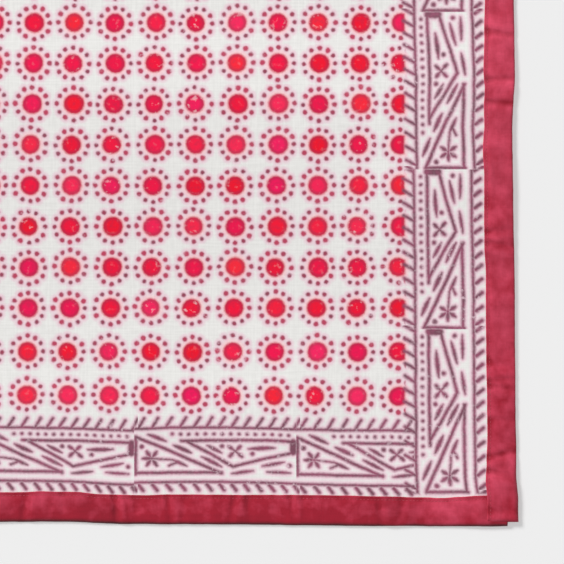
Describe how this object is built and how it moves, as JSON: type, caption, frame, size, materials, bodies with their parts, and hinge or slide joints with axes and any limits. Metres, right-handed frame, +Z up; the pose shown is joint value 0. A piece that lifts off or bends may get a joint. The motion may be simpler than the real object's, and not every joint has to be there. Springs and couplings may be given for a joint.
{
  "type": "printed tablecloth",
  "caption": "Square cotton tablecloth lying flat, block-printed with dotted rosettes inside a border of triangles and leaves, its edges bound with folded red strips.",
  "frame": {"origin": "on the table, under the middle of the cloth", "axes": "+Z up from the table, +X and +Y along the hems, with the pictured corner at +X and -Y"},
  "size_m": [1.226, 1.2228, 0.0076],
  "materials": {
    "printed_cotton": "Plain-woven off-white cotton, matt, hand-printed in crimson and mauve-rose",
    "crimson_cotton": "Plain-woven crimson cotton, matt, slightly puckered along its seam"
  },
  "bodies": {
    "root": {"printed_panel": "printed_cotton", "binding_right": "crimson_cotton", "binding_top": "crimson_cotton", "binding_left": "crimson_cotton", "binding_bottom": "crimson_cotton"}
  },
  "joints": []
}
